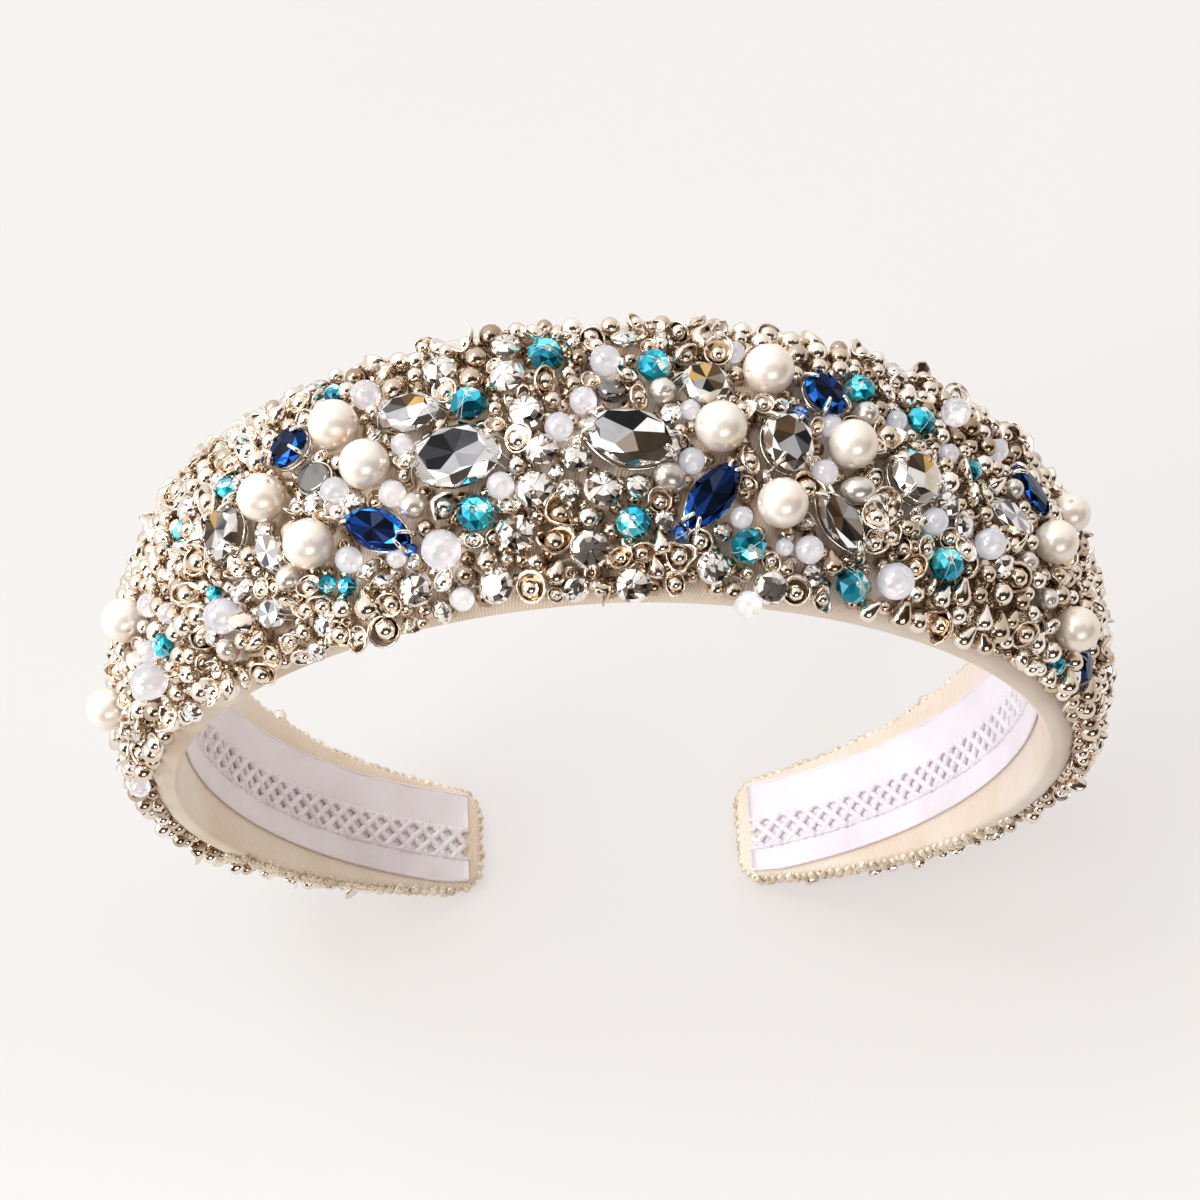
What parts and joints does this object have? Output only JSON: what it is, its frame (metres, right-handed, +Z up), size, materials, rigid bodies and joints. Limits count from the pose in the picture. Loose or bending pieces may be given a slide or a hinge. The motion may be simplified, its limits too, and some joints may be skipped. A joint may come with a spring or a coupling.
{
  "type": "embroidered bridal headband",
  "caption": "Wide padded satin horseshoe headband, its outer face paved with silver seed beads, pearls, faceted crystals and blue and turquoise stones, ribbon-lined inside.",
  "frame": {"origin": "centre of the object's box, on the surface that its two tips stand on", "axes": "+Z up through the crown, +X along the span from tip to tip, +Y from the front edge to the back edge"},
  "size_m": [0.153, 0.0424, 0.1506],
  "materials": {
    "satin": "champagne ribbed satin, soft sheen",
    "ribbon": "lavender-white woven ribbon with a lattice openwork row",
    "silver_beads": "polished champagne silver seed beads, cups and drops",
    "settings": "polished silver prongs",
    "pearls": "ivory pearl lustre",
    "rondelles": "turquoise cut glass",
    "blue_stones": "deep blue cut glass, foiled back",
    "crystals": "clear to smoky cut crystal, foiled back",
    "chatons": "clear cut rhinestone, foiled back",
    "opals": "milky opal glass"
  },
  "bodies": {
    "root": {"satin_band": "satin", "inner_ribbon": "ribbon", "bead_pave": "silver_beads", "pearl_01": "pearls", "pearl_02": "pearls", "pearl_03": "pearls", "pearl_04": "pearls", "pearl_05": "pearls", "pearl_06": "pearls", "pearl_07": "pearls", "pearl_08": "pearls", "pearl_09": "pearls", "pearl_10": "pearls", "pearl_11": "pearls", "pearl_12": "pearls", "pearl_13": "pearls", "teal_01": "rondelles", "teal_02": "rondelles", "teal_03": "rondelles", "teal_04": "rondelles", "teal_05": "rondelles", "teal_06": "rondelles", "teal_07": "rondelles", "teal_08": "rondelles", "teal_09": "rondelles", "sapphire_01": "blue_stones", "sapphire_02": "blue_stones", "sapphire_03": "blue_stones", "sapphire_04": "blue_stones", "sapphire_05": "blue_stones", "sapphire_06": "blue_stones", "crystal_01": "crystals", "crystal_02": "crystals", "crystal_03": "crystals", "crystal_04": "crystals", "crystal_05": "crystals", "crystal_06": "crystals", "crystal_07": "crystals", "crystal_08": "crystals", "crystal_09": "crystals", "crystal_10": "crystals", "crystal_11": "crystals", "crystal_12": "crystals", "setting_sapphire_01": "settings", "setting_sapphire_02": "settings", "setting_sapphire_03": "settings", "setting_sapphire_04": "settings", "setting_sapphire_05": "settings", "setting_crystal_02": "settings", "setting_crystal_04": "settings", "setting_crystal_07": "settings", "setting_crystal_08": "settings", "setting_crystal_09": "settings", "chaton_thread_left": "chatons", "chaton_thread_middle": "chatons", "chaton_thread_right": "chatons", "opal_thread_left": "opals", "opal_thread_right": "opals", "opal_thread_front": "opals"}
  },
  "joints": []
}
